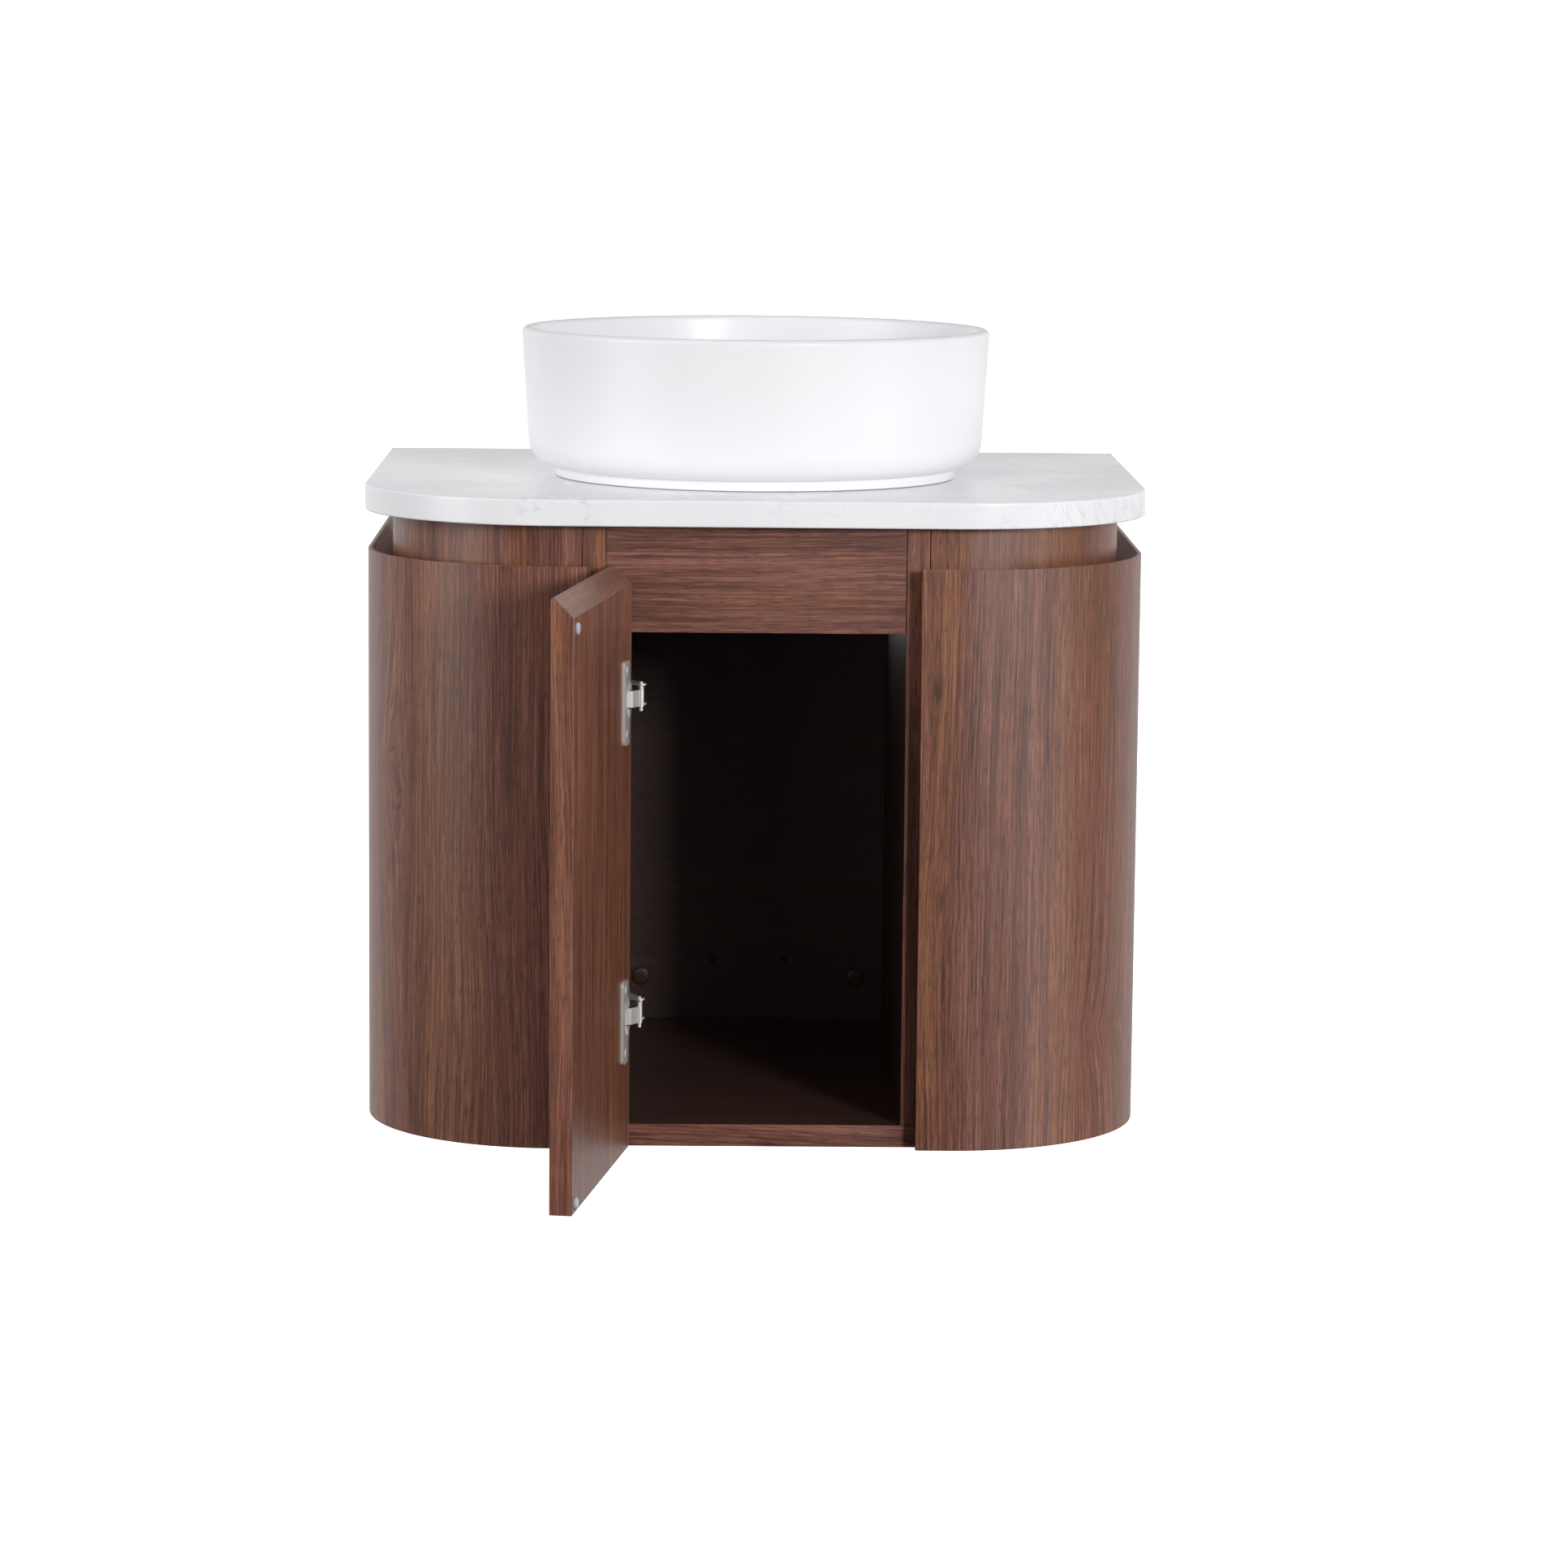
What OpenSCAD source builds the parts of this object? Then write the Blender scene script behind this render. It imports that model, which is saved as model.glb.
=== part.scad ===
// Wall-hung bathroom vanity: stone benchtop, round vessel basin, walnut cabinet with
// curved shells and one door on two concealed hinges. Millimetres, +Z up.
// The wall is the plane y = 0 and the front faces -Y.
// The origin is the centre of the four wall-fixing holes, on the wall.

/* [Benchtop] */
// Width of the benchtop
top_w = 600; // [560:1:640]
// Depth of the benchtop from the wall to its front edge
top_d = 480; // [460:1:500]
// Thickness of the benchtop
top_t = 20; // [16:1:25]
// Radius of the two front corners, seen from above
top_r = 150; // [140:1:160]
// How far the benchtop stands out past the outer shells
overhang = 2.5; // [1:0.5:6]

/* [Cabinet] */
// Height of the inner carcass
carcass_h = 472.5; // [460:0.5:500]
// Height of the outer shells and the door
shell_h = 441; // [430:1:450]
// Height of the shells' and door's lower edge above the carcass's lower face
shell_lift = 1.5; // [0:0.5:3]
// Thickness of the outer shells
shell_t = 19; // [18:0.5:20]
// Flat width left along the top of a shell or the door, outside the finger bevel
land = 3; // [2:0.5:5]
// Thickness of the curved carcass walls
side_t = 15; // [12:1:16]
// Thickness of the flat carcass boards
board_t = 17; // [16:0.5:18]
// Clear width between the two partitions
opening_w = 225; // [215:1:230]
// Height of the front rail's lower edge above the carcass's lower face
rail_z = 391.5; // [380:0.5:400]
// Thickness of the back panel
back_t = 8; // [6:1:10]
// Height of the two hanging rails
hang_rail_h = 70; // [60:1:80]
// Width of the seams between the front boards
seam = 0.5; // [0.3:0.1:0.8]

/* [Wall fixing] */
// Distance between the wall-fixing holes, side to side
fix_w = 180; // [160:1:200]
// Distance between the wall-fixing holes, up and down
fix_h = 386; // [380:1:390]
// Radius of the wall-fixing holes
fix_r = 4; // [3:0.5:5]
// Width of the pipe cut-out in the back panel
pipe_w = 140; // [100:1:150]
// Height of the pipe cut-out in the back panel
pipe_h = 55; // [40:1:55]

/* [Door] */
// Thickness of the door
door_t = 16.5; // [16:0.5:16.5]
// Gap between the door and each shell
door_gap = 2; // [1.5:0.5:3]
// Angle at which the door stands open
door_open = 98.8; // [0:0.1:105]
// Height of the upper hinge above the door's lower edge
hinge_top = 341.5; // [320:0.5:345]
// Height of the lower hinge above the door's lower edge
hinge_low = 101; // [90:0.5:120]

/* [Basin] */
// Radius of the basin's rim
basin_r = 182.5; // [175:0.5:185]
// Height of the basin
basin_h = 116; // [110:1:125]
// Thickness of the basin's wall
basin_wall = 9; // [8:0.5:11]
// Radius of the curve between the basin's wall and its underside
belly_r = 22; // [16:1:26]
// Height of the basin's foot ring
foot_h = 8; // [6:1:10]
// Distance from the wall to the basin's centre
basin_y = 250; // [235:1:260]

/* [Waste] */
// Radius of the outlet tube
tail_r = 16; // [16:0.5:16]
// Travel of the waste cap
cap_travel = 8; // [6:1:10]

/* [Hidden] */
$fn = 96;
eps = 1;

// Colours
walnut = [0.40, 0.24, 0.17];
walnut_dark = [0.30, 0.18, 0.13];
stone = [0.93, 0.93, 0.93];
ceramic = [0.97, 0.97, 0.98];
nickel = [0.78, 0.78, 0.80];
rubber = [0.12, 0.12, 0.13];
clear = [0.85, 0.86, 0.88];
beech = [0.80, 0.66, 0.46];

// Heights, measured from the carcass's lower face
fix_z = 245;
top_z = carcass_h + top_t;
shell_top = shell_lift + shell_h;
hang_t = 16;
low_rail_z = board_t;
high_rail_z = carcass_h - hang_rail_h;

// Plan sizes
carcass_in = overhang + shell_t;
room_in = carcass_in + side_t;
carcass_half = top_w / 2 - carcass_in;
room_half = top_w / 2 - room_in;
part_in = opening_w / 2;
part_out = part_in + board_t;
shell_edge = part_out - 6.3;
front_y = -(top_d - overhang);
face_y = -(top_d - carcass_in);
back_y = -(hang_t + back_t);

// Door, closed, in plan
door_half = shell_edge - door_gap;
door_in_y = front_y + door_t;

// Concealed hinge, in plan, with the door closed
cup_r = 17.4;
cup_bore_r = 17.5;
cup_depth = 11.3;
cup_bore_depth = 11.5;
cup_x = -door_half + 4 + cup_bore_r;
cup_pivot = [-door_half + 9.7, door_in_y - 5.85];
arm_pivot = [-part_in + 26.5, face_y + 18.5];
link_turn = 21.28 * door_open / 98.8;
link_elbow = cup_pivot + [7.5, -2];
link_bend = cup_pivot + [16.9, 3.4];
hinge_zs = [shell_lift + hinge_low, shell_lift + hinge_top];
pin_r = 1.4;
pin_fit = 0.06;
eye_r = 2.5;
link_h = 12.4;
link_t = 1.5;
ear_gap = 13.4;
ear_t = 1.3;
rim_t = 0.8;
flange_t = 2.5;
flange_half_w = 9.5;
flange_half_h = 31.5;
flange_corner = 4;
flange_x = cup_x + 9.5;
flange_screw = 24;
plate_screw_y = face_y + 37;
plate_screw_z = 16;

// Basin, measured from the benchtop's upper face
bead_t = 0.6;
wall_slope = 0.06;
foot_r = 156.4;
foot_in_r = 146;
boss_r = 42;
belly_steps = 8;
rim_r = 4;
floor_z = 19;
bowl_r = 34;
outlet_r = 22.5;
recess_r = 34;
recess_z = 11;

// Waste, measured from the benchtop's upper face
flange_r = 32.5;
seal_t = 1.5;
waste_flange_t = 2.4;
thread_r = 19;
tube_r = 15.5;
body_low = -58;
sleeve_r = 5;
plunger_r = 3;
cap_r = 30;
cap_t = 4;
cap_gap = 0.9;
tail_top = -46;
tail_low = -104;
neck_r = tail_r - 0.5;
neck_low = -66;
nut_h = 10;

// Puts what is drawn above the carcass's lower face at its place in the part's frame
module stand() {
    translate([0, 0, -fix_z]) children();
}

// Plan of the benchtop, drawn in by a distance all round except at the wall
module plan(inset) {
    half = top_w / 2 - inset;
    deep = top_d - inset;
    r = top_r - inset;
    translate([-half, r - deep]) square([2 * half, deep - r]);
    translate([r - half, -deep]) square([2 * (half - r), deep]);
    for (side = [-1, 1])
        translate([side * (half - r), r - deep]) circle(r = r);
}

// Ring between two insets of the plan, on one side and beyond a distance from the middle
module side_ring(outer_in, inner_in, edge, side) {
    intersection() {
        difference() {
            plan(outer_in);
            plan(inner_in);
        }
        translate([side > 0 ? edge : -top_w, -top_d]) square([top_w - edge, top_d]);
    }
}

// Upright tube or ring
module ring(outer, inner, low, high) {
    translate([0, 0, low]) difference() {
        cylinder(h = high - low, r = outer);
        translate([0, 0, -eps]) cylinder(h = high - low + 2 * eps, r = inner);
    }
}

// ---------- Benchtop and basin ----------

module at_basin() {
    stand() translate([0, -basin_y, top_z]) children();
}

module benchtop() {
    color(stone) stand() difference() {
        translate([0, 0, carcass_h]) linear_extrude(top_t) plan(0);
        translate([0, -basin_y, carcass_h - eps]) cylinder(h = top_t + 2 * eps, r = outlet_r);
    }
}

// Radius of the basin's outer wall at a height
function wall_r(z) = basin_r - wall_slope * (basin_h - rim_r - z);

// Points of an arc
function arc(c, r, a0, a1, n) =
    [for (i = [0 : n]) let (a = a0 + (a1 - a0) * i / n) [c[0] + r * cos(a), c[1] + r * sin(a)]];

module basin() {
    belly_z = foot_h + belly_r;
    rim_z = basin_h - rim_r;
    inner_top = basin_r - basin_wall;
    inner_low = wall_r(floor_z + bowl_r) - basin_wall;
    outer = concat(
        [[foot_r, bead_t], [foot_r, foot_h]],
        arc([wall_r(belly_z) - belly_r, belly_z], belly_r, -88, 0, belly_steps),
        arc([basin_r - rim_r, rim_z], rim_r, 0, 90, 4));
    inner = concat(
        arc([inner_top + rim_r, rim_z], rim_r, 90, 180, 4),
        arc([inner_low - bowl_r, floor_z + bowl_r], bowl_r, 0, -88, belly_steps),
        [[recess_r, floor_z - 3], [recess_r, recess_z], [outlet_r, recess_z], [outlet_r, bead_t]]);
    under = [[boss_r, bead_t], [boss_r, foot_h], [foot_in_r, foot_h], [foot_in_r, bead_t]];
    color(ceramic) at_basin() rotate_extrude() polygon(concat(outer, inner, under));
}

module basin_bead() {
    color(clear) at_basin() ring(foot_r - 1.5, foot_in_r + 1.5, 0, bead_t);
}

// ---------- Waste ----------

seal_top = recess_z + seal_t;
waste_top = seal_top + waste_flange_t;

module waste_flange() {
    color(nickel) at_basin() ring(flange_r, tube_r, seal_top, waste_top);
}

module waste_top_seal() {
    color(rubber) at_basin() ring(flange_r - 1, thread_r + 0.1, recess_z, seal_top);
}

module waste_body() {
    color(nickel) at_basin() difference() {
        ring(thread_r, tube_r, body_low, seal_top);
        translate([0, 0, body_low - eps]) cylinder(h = tail_top - body_low + eps, r = neck_r + pin_fit);
    }
}

module click_cartridge() {
    color(clear) at_basin() difference() {
        union() {
            translate([0, 0, -30]) cylinder(h = 24, r = sleeve_r);
            ring(tube_r - 0.1, tube_r - 1.5, -20, -8);
            for (a = [0, 120, 240])
                rotate(a) translate([sleeve_r - 1, -1, -20]) cube([tube_r + 0.2 - sleeve_r, 2, 12]);
        }
        translate([0, 0, -31]) cylinder(h = 26, r = plunger_r + pin_fit);
    }
}

module waste_cap() {
    low = waste_top + cap_gap;
    dome = concat([[0, low], [cap_r, low]], arc([cap_r - 2, low + 2], 2, 0, 80, 4), [[0, low + cap_t]]);
    color(nickel) at_basin() rotate_extrude() polygon(dome);
}

module waste_plunger() {
    color(nickel) at_basin() translate([0, 0, -36])
        cylinder(h = 36 + waste_top + cap_gap, r = plunger_r);
}

module cap_seal() {
    color(rubber) at_basin() ring(26, 21, waste_top + 0.1, waste_top + cap_gap);
}

module waste_under_seal() {
    color(rubber) at_basin() ring(31, thread_r + 0.1, -top_t - 3, -top_t);
}

// Six-sided nut with a round bore
module hex_nut(flats, bore, low) {
    translate([0, 0, low]) difference() {
        cylinder(h = nut_h, r = flats / sqrt(3), $fn = 6);
        translate([0, 0, -eps]) cylinder(h = nut_h + 2 * eps, r = bore);
    }
}

module waste_locknut() {
    color(nickel) at_basin() hex_nut(54, thread_r + 0.05, -top_t - 3 - nut_h);
}

module tail_union_nut() {
    color(nickel) at_basin() difference() {
        translate([0, 0, body_low - 6]) cylinder(h = 18, r = thread_r + 3.5);
        translate([0, 0, body_low]) cylinder(h = 13, r = thread_r + 0.05);
        translate([0, 0, body_low - 7]) cylinder(h = 9, r = neck_r + pin_fit);
    }
}

// Outlet tube with a slimmer neck that goes up into the body
module waste_tailpiece() {
    color(nickel) at_basin() difference() {
        union() {
            translate([0, 0, tail_low]) cylinder(h = neck_low - tail_low, r = tail_r);
            translate([0, 0, tail_low]) cylinder(h = tail_top - tail_low, r = neck_r);
        }
        translate([0, 0, tail_low - eps]) cylinder(h = tail_top - tail_low + 2 * eps, r = tail_r - 1.5);
    }
}

// ---------- Cabinet ----------

// Triangle that cuts the finger bevel: u runs outwards from the shell's inner face
module bevel_profile() {
    depth = shell_t - land;
    polygon([[-eps, shell_top - depth - eps], [depth + eps, shell_top + eps], [-eps, shell_top + eps]]);
}

// Cuts the bevel along the right shell's side, corner and front
module right_bevel() {
    r = top_r - carcass_in;
    cx = carcass_half - r;
    cy = face_y + r;
    translate([carcass_half, eps, 0]) rotate([90, 0, 0])
        linear_extrude(eps - cy) bevel_profile();
    translate([cx, cy, 0]) rotate(-90) rotate_extrude(angle = 90)
        translate([r, 0]) bevel_profile();
    translate([cx, face_y, 0]) rotate([90, 0, -90])
        linear_extrude(cx) bevel_profile();
}

module shell_screw_spots() {
    for (y = [-60, -280], z = [80, 360]) translate([0, y, z]) children();
}

module right_shell_body() {
    difference() {
        translate([0, 0, shell_lift]) linear_extrude(shell_h)
            side_ring(overhang, carcass_in, shell_edge, 1);
        right_bevel();
        shell_screw_spots() translate([carcass_half - eps, 0, 0]) rotate([0, 90, 0])
            cylinder(h = 13 + eps, r = 2.1);
    }
}

module right_shell() {
    color(walnut) stand() right_shell_body();
}

module left_shell() {
    color(walnut) stand() mirror([1, 0, 0]) right_shell_body();
}

module right_side_body() {
    difference() {
        linear_extrude(carcass_h) side_ring(carcass_in, room_in, part_out + seam, 1);
        shell_screw_spots() translate([room_half - eps, 0, 0]) rotate([0, 90, 0])
            cylinder(h = side_t + 2 * eps, r = 2.1);
    }
}

module right_side_panel() {
    color(walnut) stand() right_side_body();
}

module left_side_panel() {
    color(walnut) stand() mirror([1, 0, 0]) right_side_body();
}

module shell_screws() {
    color(nickel) stand() for (m = [0, 1]) mirror([m, 0, 0]) shell_screw_spots()
        rotate([0, 90, 0]) {
            translate([0, 0, room_half - 2]) cylinder(h = 2, r = 4.5);
            translate([0, 0, room_half]) cylinder(h = side_t + 12, r = 2);
        }
}

// Dowel places: upright ones under a partition, level ones beside the rail
dowel_r = 4;
dowel_ys = [-420, -90];
dowel_zs = [rail_z + 20, rail_z + 60];
dowel_fit = 0.05;
floor_peg = 10;
rail_peg = 10;

module upright_dowels(extra) {
    for (y = dowel_ys) translate([part_in + board_t / 2, y, board_t - floor_peg - extra])
        cylinder(h = 30 + 2 * extra, r = dowel_r + (extra > 0 ? dowel_fit : 0));
}

module level_dowels(extra) {
    for (z = dowel_zs) translate([part_in + rail_peg + extra, face_y + board_t / 2, z])
        rotate([0, -90, 0])
            cylinder(h = 30 + 2 * extra, r = dowel_r + (extra > 0 ? dowel_fit : 0));
}

module right_partition_body() {
    difference() {
        translate([part_in, face_y, board_t]) cube([board_t, back_y - face_y, carcass_h - board_t]);
        upright_dowels(0.5);
        level_dowels(0.5);
    }
}

module right_partition() {
    color(walnut) stand() right_partition_body();
}

module left_partition() {
    color(walnut) stand() difference() {
        mirror([1, 0, 0]) right_partition_body();
        plate_screw_spots() translate([-part_in - 11, 0, 0]) rotate([0, 90, 0])
            cylinder(h = 11 + eps, r = 1.8);
    }
}

module front_rail() {
    color(walnut) stand() difference() {
        translate([seam - part_in, face_y, rail_z])
            cube([2 * (part_in - seam), board_t, carcass_h - rail_z]);
        for (m = [0, 1]) mirror([m, 0, 0]) level_dowels(0.5);
    }
}

module bottom_panel() {
    color(walnut) stand() difference() {
        linear_extrude(board_t) union() {
            plan(room_in);
            translate([-part_out, face_y]) square([2 * part_out, -face_y]);
        }
        for (m = [0, 1]) mirror([m, 0, 0]) upright_dowels(0.5);
    }
}

module carcass_dowels() {
    color(beech) stand() for (m = [0, 1]) mirror([m, 0, 0]) {
        upright_dowels(0);
        level_dowels(0);
    }
}

module fixing_holes() {
    for (x = [-fix_w / 2, fix_w / 2], z = [fix_z - fix_h / 2, fix_z + fix_h / 2])
        translate([x, eps, z]) rotate([90, 0, 0]) cylinder(h = hang_t + back_t + 2 * eps, r = fix_r);
}

module back_screw_spots() {
    for (x = [-200, -30, 30, 200], z = [low_rail_z + 50, carcass_h - 18]) translate([x, 0, z])
        children();
}

module hanging_rail(low) {
    difference() {
        translate([-room_half, -hang_t, low]) cube([2 * room_half, hang_t, hang_rail_h]);
        fixing_holes();
        back_screw_spots() translate([0, -4, 0]) rotate([90, 0, 0]) cylinder(h = 16, r = 1.6);
    }
}

module upper_hanging_rail() {
    color(walnut_dark) stand() hanging_rail(high_rail_z);
}

module lower_hanging_rail() {
    color(walnut_dark) stand() hanging_rail(low_rail_z);
}

module back_panel() {
    color(walnut_dark) stand() difference() {
        translate([-room_half, back_y, board_t]) cube([2 * room_half, back_t, carcass_h - board_t]);
        fixing_holes();
        translate([-pipe_w / 2, back_y - eps, high_rail_z - pipe_h])
            cube([pipe_w, back_t + 2 * eps, pipe_h]);
        back_screw_spots() translate([0, eps, 0]) rotate([90, 0, 0])
            cylinder(h = 2 * hang_t + back_t, r = 1.6);
    }
}

module back_screws() {
    color(nickel) stand() back_screw_spots() rotate([90, 0, 0]) {
        translate([0, 0, 6]) cylinder(h = -back_y - 6, r = 1.5);
        translate([0, 0, -back_y]) cylinder(h = 1.2, r = 3.5);
    }
}

// ---------- Door and hinges ----------

// Turns what is drawn with the door closed about one upright axis
module turned(pivot, angle) {
    translate(pivot) rotate(angle) translate(-pivot) children();
}

module on_link() {
    stand() turned(arm_pivot, link_turn) children();
}

module on_door() {
    on_link() turned(cup_pivot, -door_open - link_turn) children();
}

module door() {
    color(walnut) on_door() difference() {
        translate([-door_half, front_y, shell_lift]) cube([2 * door_half, door_t, shell_h]);
        translate([door_half + eps, door_in_y, 0]) rotate([90, 0, -90])
            linear_extrude(2 * door_half + 2 * eps) polygon([
                [-eps, shell_top - (door_t - land) - eps],
                [door_t - land + eps, shell_top + eps],
                [-eps, shell_top + eps]]);
        for (z = hinge_zs) {
            translate([cup_x, door_in_y + eps, z]) rotate([90, 0, 0])
                cylinder(h = cup_bore_depth + eps, r = cup_bore_r);
            for (s = [-1, 1]) translate([flange_x, door_in_y + eps, z + s * flange_screw])
                rotate([90, 0, 0]) cylinder(h = 11 + eps, r = 1.8);
        }
    }
}

bumper_x = door_half - 12.5;
bumper_zs = [shell_lift + 7, shell_lift + 419];

module door_bumpers() {
    color(clear) on_door() for (z = bumper_zs) translate([bumper_x, door_in_y, z])
        rotate([-90, 0, 0]) {
            cylinder(h = 1.2, r = 4.5);
            translate([0, 0, 1.2]) cylinder(h = 1, r1 = 4.5, r2 = 3);
        }
}

// Flat flange with rounded corners, centred between its two screws
module flange_plate() {
    w = flange_half_w;
    h = flange_half_h;
    r = flange_corner;
    translate([flange_x, 0, 0]) {
        translate([-w, 0, r - h]) cube([2 * w, flange_t, 2 * (h - r)]);
        translate([r - w, 0, -h]) cube([2 * (w - r), flange_t, 2 * h]);
        for (sx = [-1, 1], sz = [-1, 1]) translate([sx * (w - r), flange_t, sz * (h - r)])
            rotate([90, 0, 0]) cylinder(h = flange_t, r = r);
    }
}

// Cup pressed into the door and held by its screwed flange. A pocket clears the link, a
// notch in the rim clears it at full opening, and a wider well clears the link's front pin.
module hinge_cup(z) {
    pocket_h = 14.4;
    notch_depth = 1.2;
    pocket_low = -door_half + 6.4;
    pocket_high = cup_x + 13;
    well_h = 21;
    well_depth = 4.6;
    color(nickel) on_door() translate([0, door_in_y, z]) difference() {
        union() {
            translate([cup_x, 0, 0]) rotate([90, 0, 0]) cylinder(h = cup_depth, r = cup_r);
            translate([cup_x, rim_t, 0]) rotate([90, 0, 0]) cylinder(h = rim_t, r = cup_r + 1.2);
            flange_plate();
        }
        translate([pocket_low, 0.6 - cup_depth, -pocket_h / 2])
            cube([pocket_high - pocket_low, cup_depth + flange_t, pocket_h]);
        translate([-door_half, -notch_depth, -pocket_h / 2])
            cube([cup_x + door_half, notch_depth + flange_t + eps, pocket_h]);
        translate([link_bend[0] - 4, -well_depth, -well_h / 2])
            cube([7.2, well_depth + flange_t + eps, well_h]);
        translate([cup_pivot[0], cup_pivot[1] - door_in_y, -9]) cylinder(h = 18, r = pin_r);
        for (s = [-1, 1]) translate([flange_x, flange_t + eps, s * flange_screw])
            rotate([90, 0, 0]) cylinder(h = flange_t + 2 * eps, r = 2);
    }
}

module cup_pins() {
    color(nickel) on_door() for (z = hinge_zs)
        translate([cup_pivot[0], cup_pivot[1], z - 9]) cylinder(h = 18, r = pin_r);
}

module cup_screws() {
    color(nickel) on_door() for (z = hinge_zs, s = [-1, 1])
        translate([flange_x, door_in_y, z + s * flange_screw]) rotate([90, 0, 0]) {
            translate([0, 0, -flange_t - 0.6]) cylinder(h = 0.6, r = 3.6);
            translate([0, 0, -flange_t]) cylinder(h = flange_t + 10, r = 1.75);
        }
}

// Flat bar seen from above, between two plan points, with round ends
module bar(a, b, t) {
    d = b - a;
    translate(a) rotate(atan2(d[1], d[0])) translate([0, -t / 2]) square([norm(d), t]);
    translate(a) circle(r = t / 2, $fn = 24);
    translate(b) circle(r = t / 2, $fn = 24);
}

// Cranked link between the cup's pin and the arm's pin, with an eye for its front pin
module hinge_link(z) {
    color(nickel) on_link() translate([0, 0, z - link_h / 2]) difference() {
        linear_extrude(link_h) union() {
            bar(cup_pivot, link_elbow, link_t);
            bar(link_elbow, link_bend, link_t);
            bar(link_bend, arm_pivot, link_t);
            for (p = [cup_pivot, link_bend]) translate(p) circle(r = eye_r - 0.3);
            translate(arm_pivot) circle(r = eye_r);
        }
        for (p = [cup_pivot, link_bend, arm_pivot]) translate([p[0], p[1], -eps])
            cylinder(h = link_h + 2 * eps, r = pin_r + pin_fit);
    }
}

// Pins at the links' front bends, where the closing springs bear
module link_pins() {
    color(nickel) on_link() for (z = hinge_zs)
        translate([link_bend[0], link_bend[1], z - 9.7]) cylinder(h = 19.4, r = pin_r);
}

module arm_pins() {
    color(nickel) stand() for (z = hinge_zs)
        translate([arm_pivot[0], arm_pivot[1], z - 9.35]) cylinder(h = 18.7, r = pin_r);
}

// Plan of one cheek of the arm
arm_back_y = face_y + 78;
arm_wide = -part_in + 16.5;
arm_near = -part_in + 6;

module arm_cheek() {
    difference() {
        union() {
            translate(arm_pivot) circle(r = 4.2);
            polygon([
                arm_pivot + [4.2, 0], [arm_wide + 4, arm_pivot[1] + 18], [arm_wide, arm_pivot[1] + 26],
                [arm_wide, arm_back_y], [arm_near, arm_back_y], [arm_near, arm_pivot[1] + 12],
                [arm_wide, arm_pivot[1] + 2], arm_pivot - [3, 3]]);
        }
        translate(arm_pivot) circle(r = pin_r);
    }
}

module hinge_arm(z) {
    web_y = arm_pivot[1] + 26;
    color(nickel) stand() translate([0, 0, z]) {
        difference() {
            union() {
                for (low = [-ear_gap / 2 - ear_t, ear_gap / 2])
                    translate([0, 0, low]) linear_extrude(ear_t) arm_cheek();
                translate([arm_wide - ear_t, web_y, -ear_gap / 2])
                    cube([ear_t, arm_back_y - web_y, ear_gap]);
            }
            for (y = arm_screw_ys) translate([arm_wide - 3, y, 0]) rotate([0, 90, 0])
                cylinder(h = 6, r = 2.1);
        }
    }
}

arm_screw_ys = [face_y + 50, face_y + 69];

module arm_screws() {
    color(nickel) stand() for (z = hinge_zs, y = arm_screw_ys)
        translate([arm_wide, y, z]) rotate([0, 90, 0]) {
            cylinder(h = 2.4, r = 3.6);
            translate([0, 0, -5]) cylinder(h = 5, r = 2);
        }
}

module plate_screw_spots() {
    for (z = hinge_zs, s = [-1, 1]) translate([0, plate_screw_y, z + s * plate_screw_z]) children();
}

// Plate screwed to the partition, with a raised rail inside the arm
module mounting_plate(z) {
    color(nickel) stand() difference() {
        union() {
            translate([-part_in, plate_screw_y - 7, z - 22]) cube([2.5, 14, 44]);
            translate([-part_in, plate_screw_y - 7, z - 5.5])
                cube([8.5, arm_back_y - plate_screw_y + 3, 11]);
        }
        for (s = [-1, 1]) translate([-part_in - eps, plate_screw_y, z + s * plate_screw_z])
            rotate([0, 90, 0]) cylinder(h = 5, r = 2);
        for (y = arm_screw_ys) translate([-part_in + 3.5, y, z]) rotate([0, 90, 0])
            cylinder(h = 6, r = 2.05);
    }
}

module plate_screws() {
    color(nickel) stand() plate_screw_spots() translate([-part_in, 0, 0]) rotate([0, 90, 0]) {
        translate([0, 0, 2.5]) cylinder(h = 1.6, r = 3.8);
        translate([0, 0, -10]) cylinder(h = 12.5, r = 1.75);
    }
}

benchtop();
basin();
basin_bead();
waste_flange();
waste_top_seal();
waste_body();
click_cartridge();
waste_cap();
waste_plunger();
cap_seal();
waste_under_seal();
waste_locknut();
tail_union_nut();
waste_tailpiece();
left_shell();
right_shell();
left_side_panel();
right_side_panel();
left_partition();
right_partition();
front_rail();
bottom_panel();
back_panel();
upper_hanging_rail();
lower_hanging_rail();
carcass_dowels();
shell_screws();
back_screws();
door();
door_bumpers();
hinge_cup(hinge_zs[1]);  // upper_hinge_cup
hinge_cup(hinge_zs[0]);  // lower_hinge_cup
cup_screws();
hinge_link(hinge_zs[1]);  // upper_hinge_link
hinge_link(hinge_zs[0]);  // lower_hinge_link
hinge_arm(hinge_zs[1]);  // upper_hinge_arm
hinge_arm(hinge_zs[0]);  // lower_hinge_arm
mounting_plate(hinge_zs[1]);  // upper_mounting_plate
mounting_plate(hinge_zs[0]);  // lower_mounting_plate
plate_screws();
arm_screws();
arm_pins();
cup_pins();
link_pins();
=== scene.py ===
"""Wall-hung bathroom vanity with a round vessel basin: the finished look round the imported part.

Metres, +Z up, the wall is the plane y = 0 and the front faces -Y.
"""

import math

import bmesh
import bpy
from mathutils import Matrix, Vector


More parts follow.
